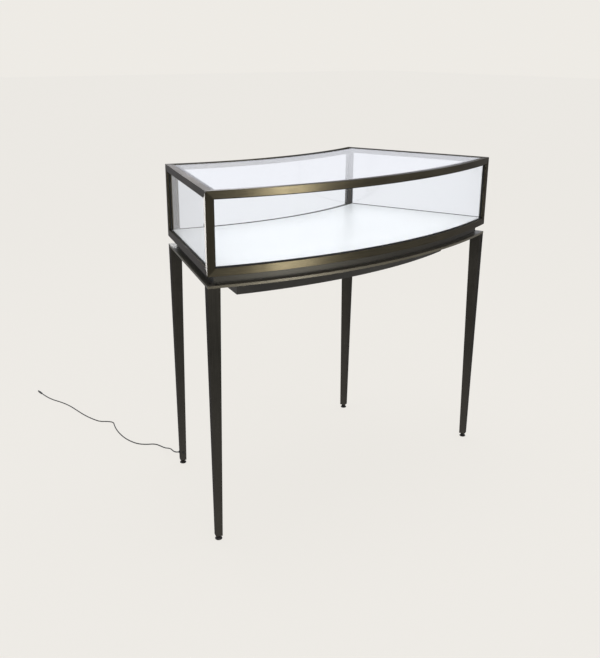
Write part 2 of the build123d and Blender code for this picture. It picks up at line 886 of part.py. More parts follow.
def side_screw_rod(radius, start, end):
    """Cylinder on the axis of the cable clamp's screw, in the leg's inward face."""
    near, far = leg_square(cord_exit_height, 0)
    origin = at_corner(LEFT, True, exit_depth, far - start, cord_exit_height)
    return extrude(Plane(origin=origin, z_dir=-rear_left_deep) * Circle(radius), amount=end - start)


for side in (LEFT, RIGHT):
    for rear in (False, True):
        write(f"leg_{end_names[rear]}_{side_names[side]}", leg_solid(side, rear))

# Leg screws: countersunk, from the plate's upper face into each leg's cap
screws = []
plate = arc_plate(outer_radius, inner_radius, 0.0, 0.0, plate_bottom, plate_top)
for side in (LEFT, RIGHT):
    for rear in (False, True):
        for inset, depth in leg_screw_places:
            centre = at_corner(side, rear, inset, depth, plate_top)
            cone_height = leg_screw_head - leg_screw_radius
            cone_low = plate_top - cone_height
            shank = corner_rod(side, rear, inset, depth, leg_screw_radius, leg_top - 6.5, cone_low)
            cone = Pos(centre.X, centre.Y, plate_top - cone_height / 2) * Cone(
                leg_screw_radius, leg_screw_head, cone_height
            )
            socket = Plane(Vector(centre.X, centre.Y, plate_top - 2.2)) * RegularPolygon(2.0, 6)
            screws.append(shank + cone - extrude(socket, amount=3))
            plate -= corner_rod(side, rear, inset, depth, leg_screw_radius, plate_bottom - 1, plate_top + 1)
            plate -= cone
write("leg_screws", *screws)

# Levelling feet: threaded insert in each leg, stud and pad as one turned piece
inserts = []
for side in (LEFT, RIGHT):
    for rear in (False, True):
        place = (side, rear, foot_middle, foot_middle)
        insert_top = leg_bottom + insert_length
        insert = corner_rod(*place, insert_radius, leg_bottom, insert_top)
        insert -= corner_rod(*place, stud_radius + running_clearance, leg_bottom - 1, insert_top + 1)
        inserts.append(insert)
        neck = 5.0
        outline = [
            (0, 0),
            (foot_pad_radius - 0.8, 0),
            (foot_pad_radius, 0.8),
            (foot_pad_radius, 2.6),
            (neck + 1.2, foot_pad_height),
            (neck + 1.2, foot_pad_height + 3.4),
            (stud_radius, foot_pad_height + 3.4),
            (stud_radius, stud_length - 0.8),
            (stud_radius - 0.8, stud_length),
            (0, stud_length),
        ]
        face = Face(Wire.make_polygon([(x, 0, z) for x, z in outline], close=True))
        foot = revolve(face, axis=Axis.Z, revolution_arc=360)
        centre = at_corner(side, rear, foot_middle, foot_middle)
        write(f"foot_{end_names[rear]}_{side_names[side]}", Pos(centre.X, centre.Y, 0) * foot)
write("foot_inserts", *inserts)

# Pan under the plate, with stand-offs and screws that hold it up
pan = fan_plate(pan_radius_front, pan_radius_rear, pan_half_angle, pan_bottom, plate_bottom)
wall_angle = degrees(asin(pan_wall / pan_radius_rear))
pan -= fan_plate(
    pan_radius_front - pan_wall,
    pan_radius_rear + pan_wall,
    pan_half_angle - wall_angle,
    pan_bottom + pan_wall,
    plate_bottom + 1,
)
standoff_radius = 5.0
standoff_setback = 12.0
standoffs, pan_screws = [], []
for side in (LEFT, RIGHT):
    for radius in (pan_radius_front - standoff_setback, pan_radius_rear + standoff_setback):
        for angle in (radians(pan_half_angle) - standoff_setback / radius, radians(pan_half_angle) * 0.36):
            place = Vector(side * radius * sin(angle), -radius * cos(angle), 0)
            post = rod_at(place, standoff_radius, pan_bottom + pan_wall, plate_bottom)
            post -= rod_at(place, 2.0, pan_bottom, pan_bottom + 12)
            standoffs.append(post)
            head = rod_at(place, 3.8, pan_bottom - 2.2, pan_bottom)
            head = chamfer(head.edges().filter_by(GeomType.CIRCLE).sort_by(Axis.Z)[0], 0.7)
            socket = Plane(Vector(place.X, place.Y, pan_bottom - 3)) * RegularPolygon(1.5, 6)
            screw = head + rod_at(place, 1.95, pan_bottom, pan_bottom + 10) - extrude(socket, amount=2.0)
            pan_screws.append(screw)
            pan -= rod_at(place, 2.2, pan_bottom - 1, pan_bottom + pan_wall + 1)
write("pan_standoffs", *standoffs)
write("pan_screws", *pan_screws)

# Light controller on the pan's floor, and the cable's way to it
controller_length, controller_width, controller_height = 92.0, 42.0, 22.0
controller_angle = 10.0
controller_radius = 1175.0
controller_spot = Vector(
    -controller_radius * sin(radians(controller_angle)),
    -controller_radius * cos(radians(controller_angle)),
    pan_bottom + pan_wall,
)
controller_x = Vector(1, 0, 0).rotate(Axis.Z, -controller_angle)
controller_frame = Plane(origin=controller_spot, x_dir=controller_x, z_dir=(0, 0, 1))
controller_base = controller_frame * Rectangle(controller_length, controller_width)
controller = extrude(controller_base, amount=controller_height)
controller = fillet(controller.edges().filter_by(Axis.Z), 3.0)
controller = chamfer(controller.faces().sort_by(Axis.Z)[-1].edges(), 1.2)
write("light_controller", controller)
port_height = controller_height / 2
cable_entry = 100.0
cable_turn = at_corner(LEFT, True, cable_entry, exit_depth, cable_run_height)
cable_inside = controller_frame.from_local_coords(Vector(-controller_length / 2 - 58, 0, port_height))
cable_port = controller_frame.from_local_coords(Vector(-controller_length / 2, 0, port_height))
lead_port = controller_frame.from_local_coords(Vector(-30, -controller_width / 2, port_height))
lead_below = controller_frame.from_local_coords(Vector(-30, -controller_width / 2 - 40, port_height))
lead_plinth = Vector(lead_below.X, lead_below.Y, plate_top + plinth_height / 2)
pan -= straight_rod(cable_turn, cable_inside, cord_radius + 1.2)
plate -= straight_rod(lead_below, lead_plinth, lead_radius + lead_play)
write("base_plate", drilled(plate - board_hole, plate_bottom - 1, plate_top + 1))
write("pan", pan)


def tube(points, radii, radius):
    """Round cable along straight runs that are joined by tangent arcs."""
    path = FilletPolyline(*points, radius=radii)
    start = Plane(origin=path @ 0, z_dir=path % 0)
    solid = sweep(start * Circle(radius), path=path)
    expected = pi * radius**2 * path.length
    print("cable length", round(path.length, 1), "volume share", round(solid.volume / expected, 4))
    return solid


# Cables inside: mains-side cable up the rear left leg, and the lead of the lighting bar
leg_cable_points = [
    at_corner(LEFT, True, exit_near + leg_wall, exit_depth, cord_exit_height),
    at_corner(LEFT, True, exit_depth, exit_depth, cord_exit_height),
    at_corner(LEFT, True, exit_depth, exit_depth, cable_run_height),
    cable_turn,
    cable_inside,
    cable_port,
]
lead_end_inset = bar_end_inset - 2.6
lead_end_depth = front_post_depth + top_ledge_width + bar_depth / 2
lead_end_level = bar_top - bar_wall - strip_thickness - lead_radius - 0.1
lead_points = [
    lead_port,
    lead_below,
    lead_plinth,
    at_corner(LEFT, False, board_inset, board_depth, plate_top + plinth_height / 2),
    lead_board,
    lead_turn,
    at_corner(LEFT, False, lead_inset, lead_depth, top_rail_bottom - 3),
    at_corner(LEFT, False, lead_end_inset, lead_end_depth, top_rail_bottom - 3),
    at_corner(LEFT, False, lead_end_inset, lead_end_depth, lead_end_level),
    at_corner(LEFT, False, bar_end_inset + 6, lead_end_depth, lead_end_level),
]
leg_cable = tube(leg_cable_points, [6.0, 8.0, 12.0, 12.0], cord_radius)
lead = tube(lead_points, [8.0, 5.0, 5.0, 3.0, 3.0, 3.0, 3.0, 3.0], lead_radius)
write("inner_cables", leg_cable, lead)
cover_low, cover_high = deck_top + 0.4, top_rail_bottom - 6.0
cover_back = lead_depth + 2.5
cover = corner_block(
    LEFT, False, post_width - 6, post_width, front_post_depth, cover_back, cover_low, cover_high
)
cover -= corner_rod(LEFT, False, lead_inset, lead_depth, lead_radius + 0.3, deck_top, top_rail_bottom)
write("lead_cover", cover)

# Gland at the cord's exit, clamp screw beside it, and the cable inside
head_gap = 0.04
gland = gland_rod(gland_radius, -1.6, -head_gap)
gland += gland_rod(cable_hole_radius - 0.1, -head_gap, leg_wall + 1.2)
nose_base = at_corner(LEFT, True, exit_near - 1.6, exit_depth, cord_exit_height)
nose = Plane(origin=nose_base, z_dir=-rear_left_across)
gland += nose * Pos(0, 0, (gland_length - 1.6) / 2) * Cone(3.4, 2.5, gland_length - 1.6)
gland -= gland_rod(cord_radius + 0.1, -gland_length - 1, leg_wall + 3)
clamp_screw = side_screw_rod(3.2, -1.8, -head_gap)
clamp_screw += side_screw_rod(clamp_screw_radius - 0.1, -head_gap, leg_wall + 1.6)
write("cord_fixings", gland, clamp_screw)

# Power cord: the route over the floor, in the table's own frame, from the leg to the connector
cord_route = [
    (-348.2, 256.6, 38.0),
    (-357.9, 260.1, 38.0),
    (-363.0, 269.9, 37.8),
    (-360.8, 284.0, 36.6),
    (-354.0, 304.0, 31.0),
    (-347.5, 331.0, 20.5),
    (-343.0, 362.0, 8.0),
    (-340.0, 390.0, 2.0),
    (-347.0, 418.0, 2.0),
    (-371.0, 431.0, 2.0),
    (-391.0, 452.0, 2.0),
    (-401.0, 486.0, 2.0),
    (-404.0, 522.0, 2.0),
    (-401.0, 560.0, 2.0),
    (-394.0, 598.0, 2.0),
    (-384.0, 630.0, 2.0),
    (-375.0, 653.0, 2.0),
    (-388.0, 672.0, 2.0),
    (-409.0, 687.0, 2.0),
    (-419.0, 720.0, 2.0),
    (-427.0, 765.0, 2.0),
    (-430.0, 818.0, 2.0),
    (-432.0, 872.0, 2.0),
    (-441.0, 921.0, 2.0),
    (-457.0, 965.0, 2.0),
    (-466.0, 1005.0, 3.6),
    (-466.5, 1043.0, 3.6),
]


def corner_radii(points):
    """Largest arc radius that the two runs at each corner allow."""
    radii = []
    for before, point, after in zip(points, points[1:], points[2:]):
        run_in, run_out = point - before, after - point
        half_turn = radians(run_in.get_angle(run_out)) / 2
        radii.append(0.45 * min(run_in.length, run_out.length) / tan(half_turn))
    return radii


cord_points = [Vector(*point) - Vector(0, centre_y, 0) for point in cord_route]
cord_radii = corner_radii(cord_points)
print("cord radii", [round(radius, 1) for radius in cord_radii])
write("power_cord", tube(cord_points, cord_radii, cord_radius))

# Slim round connector that ends the cord
connector_sleeve_radius, connector_sleeve_length = 3.5, 22.0
connector_barrel_radius, connector_barrel_length = 2.75, 9.5
connector_neck_length = 5.0
cord_end = cord_points[-1]
connector_direction = (cord_end - cord_points[-2]).normalized()
connector_plane = Plane(origin=cord_end, z_dir=connector_direction)
profile = [
    (0, 0),
    (cord_radius + 0.5, 0),
    (connector_sleeve_radius, connector_neck_length),
    (connector_sleeve_radius, connector_sleeve_length),
    (connector_barrel_radius, connector_sleeve_length),
    (connector_barrel_radius, connector_sleeve_length + connector_barrel_length),
    (0, connector_sleeve_length + connector_barrel_length),
]
half = Face(Wire.make_polygon([(x, 0, z) for x, z in profile], close=True))
connector = connector_plane.location * revolve(half, axis=Axis.Z, revolution_arc=360)
bore_start = cord_end + connector_direction * (connector_sleeve_length + 1)
connector -= straight_rod(bore_start, bore_start + connector_direction * connector_barrel_length, 1.2)
write("cord_connector", connector)
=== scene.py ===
import math

import bpy
from mathutils import Matrix, Vector


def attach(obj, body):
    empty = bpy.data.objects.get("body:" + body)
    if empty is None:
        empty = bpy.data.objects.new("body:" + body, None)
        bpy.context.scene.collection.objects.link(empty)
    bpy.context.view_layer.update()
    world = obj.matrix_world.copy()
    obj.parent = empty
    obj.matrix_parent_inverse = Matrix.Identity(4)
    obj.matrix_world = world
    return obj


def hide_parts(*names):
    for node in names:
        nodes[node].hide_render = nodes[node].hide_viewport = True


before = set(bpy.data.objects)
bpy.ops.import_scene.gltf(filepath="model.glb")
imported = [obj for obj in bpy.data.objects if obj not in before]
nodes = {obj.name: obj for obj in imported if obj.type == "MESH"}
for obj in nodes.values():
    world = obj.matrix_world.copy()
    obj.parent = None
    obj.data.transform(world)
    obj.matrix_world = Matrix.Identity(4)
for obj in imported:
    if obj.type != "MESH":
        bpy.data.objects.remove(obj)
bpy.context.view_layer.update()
bpy.ops.object.select_all(action="DESELECT")

# the case's plan: two arcs about one centre behind the table, closed by two radial ends
plan = {
    "frontRadius": 1.5,
    "rearRadius": 1.02,
    "halfAngle": math.radians(20),
    "caseTop": 0.93,
    "caseBottom": 0.725,
}
halfAngle = plan["halfAngle"]
arcCentreY = (plan["frontRadius"] + plan["rearRadius"] * math.cos(halfAngle)) / 2

# camera at the photo's view angle
cameraSet = {
    "place": (-1.5674, -1.8005, 1.2519),
    "pitchDown": 18.81,
    "yaw": -39.61,
    "roll": 0.42,
    "focalPixels": 837.9,
    "imageLongSide": 658,
}


def addCamera():
    a, b, c = (math.radians(cameraSet[key]) for key in ("pitchDown", "yaw", "roll"))
    ahead = Vector((-math.sin(b) * math.cos(a), math.cos(b) * math.cos(a), -math.sin(a)))
    right = Vector((math.cos(b), math.sin(b), 0))
    up = right.cross(ahead)
    turnedRight = right * math.cos(c) + up * math.sin(c)
    turnedUp = up * math.cos(c) - right * math.sin(c)
    data = bpy.data.cameras.new("photoCamera")
    data.sensor_width = 36
    data.lens = cameraSet["focalPixels"] * data.sensor_width / cameraSet["imageLongSide"]
    data.clip_end = 60
    camera = bpy.data.objects.new("photoCamera", data)
    turn = Matrix((turnedRight, turnedUp, -ahead)).transposed().to_4x4()
    camera.matrix_world = Matrix.Translation(cameraSet["place"]) @ turn
    bpy.context.scene.collection.objects.link(camera)
    bpy.context.scene.camera = camera


addCamera()
print("camera placed")

# free power cord, from the rear left leg over the floor to its connector
cordSet = {
    "radius": 0.0018,
    "length": 0.846,
    "exit": (-0.3482, 0.2566, 0.038),
    "route": [
        (-0.3482, 0.2566, 0.0380),
        (-0.3579, 0.2601, 0.0380),
        (-0.3630, 0.2699, 0.0378),
        (-0.3608, 0.2840, 0.0366),
        (-0.3540, 0.3040, 0.0310),
        (-0.3475, 0.3310, 0.0205),
        (-0.3430, 0.3620, 0.0080),
        (-0.3400, 0.3900, 0.0020),
        (-0.3470, 0.4180, 0.0020),
        (-0.3710, 0.4310, 0.0020),
        (-0.3910, 0.4520, 0.0020),
        (-0.4010, 0.4860, 0.0020),
        (-0.4040, 0.5220, 0.0020),
        (-0.4010, 0.5600, 0.0020),
        (-0.3940, 0.5980, 0.0020),
        (-0.3840, 0.6300, 0.0020),
        (-0.3750, 0.6530, 0.0020),
        (-0.3880, 0.6720, 0.0020),
        (-0.4090, 0.6870, 0.0020),
        (-0.4190, 0.7200, 0.0020),
        (-0.4270, 0.7650, 0.0020),
        (-0.4300, 0.8180, 0.0020),
        (-0.4320, 0.8720, 0.0020),
        (-0.4410, 0.9210, 0.0020),
        (-0.4570, 0.9650, 0.0020),
        (-0.4660, 1.0050, 0.0036),
        (-0.4665, 1.0430, 0.0036),
    ],
}


def addCord():
    line = bpy.data.curves.new("powerCordLine", "CURVE")
    line.dimensions = "3D"
    spline = line.splines.new("NURBS")
    spline.points.add(len(cordSet["route"]) - 1)
    for point, place in zip(spline.points, cordSet["route"]):
        point.co = (*place, 1)
        point.radius = cordSet["radius"]
    spline.order_u = 3
    spline.use_endpoint_u = True
    line.resolution_u = 10
    line.bevel_depth = 1.0  # times the radius of each point
    line.bevel_resolution = 5
    line.use_fill_caps = True
    cord = bpy.data.objects.new("cordSheath", line)
    bpy.context.scene.collection.objects.link(cord)
    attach(cord, "table")
    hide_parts("power_cord")
    return cord


cordSheath = addCord()
print("cord laid")


# shader maths: a wrapped socket that takes the usual operators
class Signal:
    def __init__(self, desk, socket):
        self.desk = desk
        self.socket = socket

    def math(self, operation, *others):
        return self.desk.math(operation, self, *others)

    def __add__(self, other):
        return self.math("ADD", other)

    def __sub__(self, other):
        return self.math("SUBTRACT", other)

    def __mul__(self, other):
        return self.math("MULTIPLY", other)

    def __truediv__(self, other):
        return self.math("DIVIDE", other)

    def __radd__(self, other):
        return self.math("ADD", other)

    def __rmul__(self, other):
        return self.math("MULTIPLY", other)

    def __rsub__(self, other):
        return self.desk.math("SUBTRACT", other, self)


class MaterialDesk:
    def __init__(self, name):
        self.material = bpy.data.materials.new(name)
        self.material.use_nodes = True
        self.tree = self.material.node_tree
        self.shader = self.tree.nodes["Principled BSDF"]
        self.output = self.tree.nodes["Material Output"]

    def feed(self, socket, value):
        if isinstance(value, Signal):
            self.tree.links.new(value.socket, socket)
        else:
            socket.default_value = value

    def node(self, kind, settings=None, values=None, out=0):
        new = self.tree.nodes.new(kind)
        for key, setting in (settings or {}).items():
            setattr(new, key, setting)
        for key, value in (values or {}).items():
            self.feed(new.inputs[key], value)
        return Signal(self, new.outputs[out])

    def math(self, operation, *terms):
        return self.node("ShaderNodeMath", {"operation": operation}, dict(enumerate(terms)))

    def least(self, one, two):
        return self.math("MINIMUM", one, two)

    def most(self, one, two):
        return self.math("MAXIMUM", one, two)

    def axes(self):
        place = self.node("ShaderNodeTexCoord", out="Object")
        parts = self.tree.nodes.new("ShaderNodeSeparateXYZ")
        self.feed(parts.inputs[0], place)
        return [Signal(self, socket) for socket in parts.outputs]

    def join(self, x, y, z):
        return self.node("ShaderNodeCombineXYZ", values={0: x, 1: y, 2: z})

    def noise(self, vector, scale=1.0, detail=2.0, roughness=0.5):
        values = {"Vector": vector, "Scale": scale, "Detail": detail, "Roughness": roughness}
        return self.node("ShaderNodeTexNoise", values=values)

    def ramp(self, value, low, high):
        return self.node("ShaderNodeMapRange", values={0: value, 1: low, 2: high, 3: 0.0, 4: 1.0})

    def blend(self, share, one, two):
        mix = self.tree.nodes.new("ShaderNodeMix")
        mix.data_type = "RGBA"
        self.feed(mix.inputs["Factor"], share)
        self.feed(mix.inputs[6], one if isinstance(one, Signal) else (*one, 1))
        self.feed(mix.inputs[7], two if isinstance(two, Signal) else (*two, 1))
        return Signal(self, mix.outputs[2])

    def bump(self, height, distance, strength=1.0):
        values = {"Strength": strength, "Distance": distance, "Height": height}
        return self.node("ShaderNodeBump", values=values)

    def finish(self, **sockets):
        for key, value in sockets.items():
            name = {
                "colour": "Base Color",
                "roughness": "Roughness",
                "metallic": "Metallic",
                "normal": "Normal",
                "coat": "Coat Weight",
                "coatRoughness": "Coat Roughness",
                "transmission": "Transmission Weight",
                "ior": "IOR",
                "edgeTint": "Specular Tint",
                "glow": "Emission Color",
                "glowStrength": "Emission Strength",
                "anisotropic": "Anisotropic",
                "anisotropicTurn": "Anisotropic Rotation",
            }[key]
            value = (*value, 1) if isinstance(value, tuple) and len(value) == 3 else value
            self.feed(self.shader.inputs[name], value)
        return self.material


# brushed metal, with its fine lines along the rail, the end, or straight up
brushing = {
    "stretch": 0.012,  # share of its length that the grain changes over
    "arcRadius": 1.25,
    "lineScale": 2400,
    "bandScale": 420,
    "cloudScale": 9,
    "rubbedScale": 60,
    "lineDepth": 0.00006,
    "anisotropic": 0.7,
    "metallic": 0.95,
    "hairline": (0.008, 0.007, 0.006),
    # painted light: leg metal paler near the floor, with this tone over this fade height
    "paintedFloorLightTone": (0.15, 0.14, 0.125),
    "paintedFloorLightFade": (0.03, 0.5),
}


def grainPlace(desk, grain):
    x, y, z = desk.axes()
    if grain == "upright":
        return desk.join(x, y, z * brushing["stretch"])
    back = arcCentreY - y
    if grain == "arc":
        along = desk.math("ARCTAN2", x, back) * brushing["arcRadius"]
        across = desk.math("SQRT", x * x + back * back)
        return desk.join(along * brushing["stretch"], across, z)
    side = -1 if grain == "leftEnd" else 1
    sine, cosine = math.sin(halfAngle), math.cos(halfAngle)
    along = x * (side * sine) + back * cosine
    across = x * (side * cosine) - back * sine
    return desk.join(along * brushing["stretch"], across, z)


# dark hairline where two rails and a post meet in mitres
mitre = {"width": 0.020, "frontDepth": 0.015, "rearDepth": 0.021, "height": 0.0195, "gap": 0.022}


def mitreLine(desk):
    x, y, z = desk.axes()
    back = arcCentreY - y
    reach = desk.math("SQRT", x * x + back * back)
    inset = (back * math.sin(halfAngle) - desk.math("ABSOLUTE", x) * math.cos(halfAngle)) / mitre["width"]
    fromFront = (plan["frontRadius"] - reach) / mitre["frontDepth"]
    fromRear = (reach - plan["rearRadius"]) / mitre["rearDepth"]
    depth = desk.least(fromFront, fromRear)
    level = desk.least(plan["caseTop"] - z, z - plan["caseBottom"]) / mitre["height"]
    top = desk.most(desk.most(inset, depth), level)
    low = desk.least(desk.least(inset, depth), level)
    middle = inset + depth + level - top - low
    near = 1 - desk.ramp(top - middle, mitre["gap"] * 0.5, mitre["gap"])
    return near * desk.math("LESS_THAN", top, 1.0)


def brushedMetal(name, grain, deep, light, rough=(0.30, 0.44), mitred=True, edge=0.6, low=0.0):
    desk = MaterialDesk(name)
    place = grainPlace(desk, grain)
    x, y, z = desk.axes()
    lines = desk.noise(place, brushing["lineScale"], 3, 0.6)
    broad = desk.noise(place, brushing["bandScale"], 2, 0.5)
    cloud = desk.noise(desk.join(x, y, z), brushing["cloudScale"], 3, 0.55)
    tone = desk.ramp(lines * 0.45 + broad * 0.25 + cloud * 0.3, 0.36, 0.64)
    rubbed = desk.ramp(desk.noise(desk.join(x, y, z), brushing["rubbedScale"], 4, 0.6), 0.56, 0.72)
    colour = desk.blend(tone, deep, light)
    if mitred:
        colour = desk.blend(mitreLine(desk), colour, brushing["hairline"])
    if low:
        near = 1 - desk.ramp(z, *brushing["paintedFloorLightFade"])  # the legs are painted paler towards the floor, painted light from the floor
        colour = desk.blend(near * low, colour, brushing["paintedFloorLightTone"])
    roughness = desk.ramp(lines * 0.6 + broad * 0.4, 0.35, 0.65) * (rough[1] - rough[0]) + rough[0]
    normal = desk.bump(lines * 0.7 + broad * 0.3, brushing["lineDepth"], 0.5)
    turn = 0.0 if grain == "upright" else 0.25
    desk.finish(anisotropic=brushing["anisotropic"], anisotropicTurn=turn, edgeTint=(edge, edge, edge * 1.05))
    roughness = roughness + rubbed * 0.04
    return desk.finish(colour=colour, roughness=roughness, metallic=brushing["metallic"], normal=normal)


bronze = {"deep": (0.042, 0.037, 0.025), "light": (0.088, 0.077, 0.052)}
legTone = {
    "deep": (0.044, 0.042, 0.036),
    "light": (0.088, 0.083, 0.070),
    "mitred": False,
    "edge": 0.45,
    # painted light: share of the paler tone at the foot of the legs
    "low": 0.45,
}
shadedEdgeTint = 0.12  # painted shade: the rear and right rails are given a darker edge than the others, as shaded copies of one bronze


def paint(names, material):
    for name in names:
        slots = nodes[name].data.materials
        if not slots:
            slots.append(material)
        for i in range(len(slots)):
            slots[i] = material


arcMetal = brushedMetal("bronzeAlongArc", "arc", **bronze)
# painted shade: the rear and right rails use a darker-edged copy of the same bronze
shadedRearMetal = brushedMetal("bronzeRearPaintedShade", "arc", edge=shadedEdgeTint, **bronze)
leftMetal = brushedMetal("bronzeAlongLeftEnd", "leftEnd", **bronze)
shadedRightMetal = brushedMetal("bronzeAlongRightEndPaintedShade", "rightEnd", edge=shadedEdgeTint, **bronze)
postMetal = brushedMetal("bronzeUpright", "upright", **bronze)
legMetal = brushedMetal("legBronze", "upright", **legTone)
paint(["top_rail_front", "bottom_rail_front"], arcMetal)
paint(["top_rail_rear", "bottom_rail_rear"], shadedRearMetal)
paint(["light_channel", "door_strike"], arcMetal)
paint(["top_rail_left", "bottom_rail_left"], leftMetal)
paint(["top_rail_right", "bottom_rail_right"], shadedRightMetal)
paint([name for name in nodes if name.startswith("corner_post")], postMetal)
paint(["door_hinge_stile", "door_lock_stile", "door_pull", "lead_cover"], postMetal)
paint([name for name in nodes if name.startswith("leg_") and name != "leg_screws"], legMetal)
print("metals done")


# satin powder coat on the plinth, plate and pan
def powderCoat(name, colour, roughness):
    desk = MaterialDesk(name)
    x, y, z = desk.axes()
    place = desk.join(x, y, z)
    peel = desk.noise(place, 900, 2, 0.5)
    cloud = desk.noise(place, 7, 3, 0.5)
    fleck = desk.noise(place, 3200, 1, 0.4)
    tone = desk.ramp(cloud * 0.6 + fleck * 0.4, 0.4, 0.62)
    lighter = tuple(channel * 1.5 for channel in colour)
    mixed = desk.blend(tone, colour, lighter)
    normal = desk.bump(peel, 0.0002, 0.35)
    uneven = cloud * 0.15 + (roughness - 0.07)
    return desk.finish(colour=mixed, roughness=uneven, metallic=0.35, normal=normal)


plateCoat = powderCoat("plateCoat", (0.050, 0.045, 0.032), 0.38)
plinthCoat = powderCoat("plinthCoat", (0.015, 0.014, 0.011), 0.45)
panCoat = powderCoat("panCoat", (0.045, 0.043, 0.037), 0.42)
paint(["base_plate"], plateCoat)
paint([name for name in nodes if name.startswith("plinth_")], plinthCoat)
paint(["pan"], panCoat)


# clear glass, let through by shadow rays so that the deck stays lit
def clearGlass(name, tint):
    desk = MaterialDesk(name)
    x, y, z = desk.axes()
    film = desk.noise(desk.join(x, y, z), 14, 3, 0.6)
    desk.finish(
        colour=tint,
        roughness=desk.ramp(film, 0.5, 0.8) * 0.005,
        transmission=1.0,
        ior=1.46,
        normal=desk.bump(desk.noise(desk.join(x, y, z), 3, 1, 0.4), 0.0002, 0.1),
    )
    passing = desk.node("ShaderNodeBsdfTransparent", values={0: (0.94, 0.96, 0.965, 1)})
    shadow = desk.node("ShaderNodeLightPath", out="Is Shadow Ray")
    body = Signal(desk, desk.shader.outputs[0])
    mixed = desk.node("ShaderNodeMixShader", values={0: shadow, 1: body, 2: passing})
    desk.feed(desk.output.inputs["Surface"], mixed)
    return desk.material


paneGlass = clearGlass("paneGlass", (0.985, 0.99, 0.992))
coverGlass = clearGlass("coverGlass", (0.985, 0.988, 0.995))
paint(["front_glass", "left_glass", "right_glass", "door_glass"], paneGlass)
paint(["top_glass"], coverGlass)


# matt black rubber and cable sheath
def softBlack(name, colour, roughness, grainScale):
    desk = MaterialDesk(name)
    x, y, z = desk.axes()
    place = desk.join(x, y, z)
    grain = desk.noise(place, grainScale, 3, 0.6)
    dust = desk.ramp(desk.noise(place, 40, 3, 0.6), 0.5, 0.75)
    mixed = desk.blend(dust * 0.5, colour, tuple(channel * 2.2 for channel in colour))
    normal = desk.bump(grain, 0.00008, 0.5)
    return desk.finish(colour=mixed, roughness=grain * 0.2 + (roughness - 0.1), normal=normal)


sealRubber = softBlack("sealRubber", (0.018, 0.018, 0.019), 0.62, 2600)
sheathBlack = softBlack("sheathBlack", (0.016, 0.016, 0.016), 0.45, 3000)
tapeBlack = softBlack("tapeBlack", (0.02, 0.02, 0.022), 0.7, 1800)
paint(["front_glass_seal", "end_glass_seals", "door_glass_seals", "door_stops"], sealRubber)
paint(["inner_cables", "cord_fixings", "cord_connector", "power_cord"], sheathBlack)
paint(["top_glass_tape"], tapeBlack)
cordSheath.data.materials.append(sheathBlack)


# white laminate deck and the board under it
def laminate():
    desk = MaterialDesk("whiteLaminate")
    x, y, z = desk.axes()
    place = desk.join(x, y, z)
    fine = desk.noise(place, 1400, 2, 0.5)
    cloud = desk.noise(place, 6, 2, 0.5)
    colour = desk.blend(cloud, (0.875, 0.89, 0.905), (0.915, 0.925, 0.93))
    return desk.finish(
        colour=colour,
        roughness=fine * 0.12 + 0.30,
        normal=desk.bump(fine, 0.00004, 0.4),
        coat=0.15,
        coatRoughness=0.25,
    )


def plainBoard():
    desk = MaterialDesk("plainBoard")
    x, y, z = desk.axes()
    chips = desk.noise(desk.join(x, y, z), 500, 4, 0.7)
    layers = desk.noise(desk.join(x * 0.1, y * 0.1, z), 900, 2, 0.5)
    tone = desk.ramp(chips * 0.6 + layers * 0.4, 0.35, 0.65)
    colour = desk.blend(tone, (0.30, 0.20, 0.11), (0.52, 0.38, 0.23))
    return desk.finish(colour=colour, roughness=chips * 0.2 + 0.65, normal=desk.bump(chips, 0.0003, 0.6))


paint(["deck_panel"], laminate())
paint(["deck_board"], plainBoard())


# turned and plated steel of screws, pins, lock and inserts
def platedSteel(name, colour, rough):
    desk = MaterialDesk(name)
    x, y, z = desk.axes()
    rings = desk.noise(desk.join(x * 0.3, y * 0.3, z), 3000, 2, 0.5)
    spots = desk.noise(desk.join(x, y, z), 220, 3, 0.6)
    tone = desk.ramp(spots, 0.4, 0.65)
    mixed = desk.blend(tone, colour, tuple(min(1, channel * 1.25) for channel in colour))
    return desk.finish(
        colour=mixed, roughness=rings * 0.15 + rough, metallic=1.0, normal=desk.bump(rings, 0.00004, 0.4)
    )


paint(["case_bolts", "leg_screws", "pan_screws"], platedSteel("blackSteel", (0.06, 0.058, 0.055), 0.30))
zincSteel = platedSteel("zincSteel", (0.46, 0.46, 0.45), 0.28)
paint(["pan_standoffs", "foot_inserts", "door_pivot_pins"], zincSteel)
paint(["lock_sleeve", "lock_plug"], platedSteel("lockSteel", (0.55, 0.54, 0.52), 0.2))
footSteel = platedSteel("footSteel", (0.035, 0.033, 0.031), 0.34)
paint([name for name in nodes if name.startswith("foot_") and name != "foot_inserts"], footSteel)


# light controller's textured case, opal diffuser and strip
def texturedPlastic(name, colour, roughness, scale, glow=0.0):
    desk = MaterialDesk(name)
    x, y, z = desk.axes()
    texture = desk.noise(desk.join(x, y, z), scale, 2, 0.6)
    mixed = desk.blend(desk.ramp(texture, 0.3, 0.7), colour, tuple(min(1, c * 1.12) for c in colour))
    normal = desk.bump(texture, 0.0001, 0.5)
    if glow:
        desk.finish(glow=mixed, glowStrength=glow)
    return desk.finish(colour=mixed, roughness=texture * 0.1 + roughness, normal=normal)


paint(["light_controller"], texturedPlastic("controllerCase", (0.03, 0.03, 0.032), 0.5, 1500))
paint(["light_strip"], texturedPlastic("stripWhite", (0.8, 0.8, 0.76), 0.4, 800))
paint(["light_diffuser"], texturedPlastic("opalDiffuser", (0.86, 0.87, 0.86), 0.35, 900, 2.0))
print("materials done")

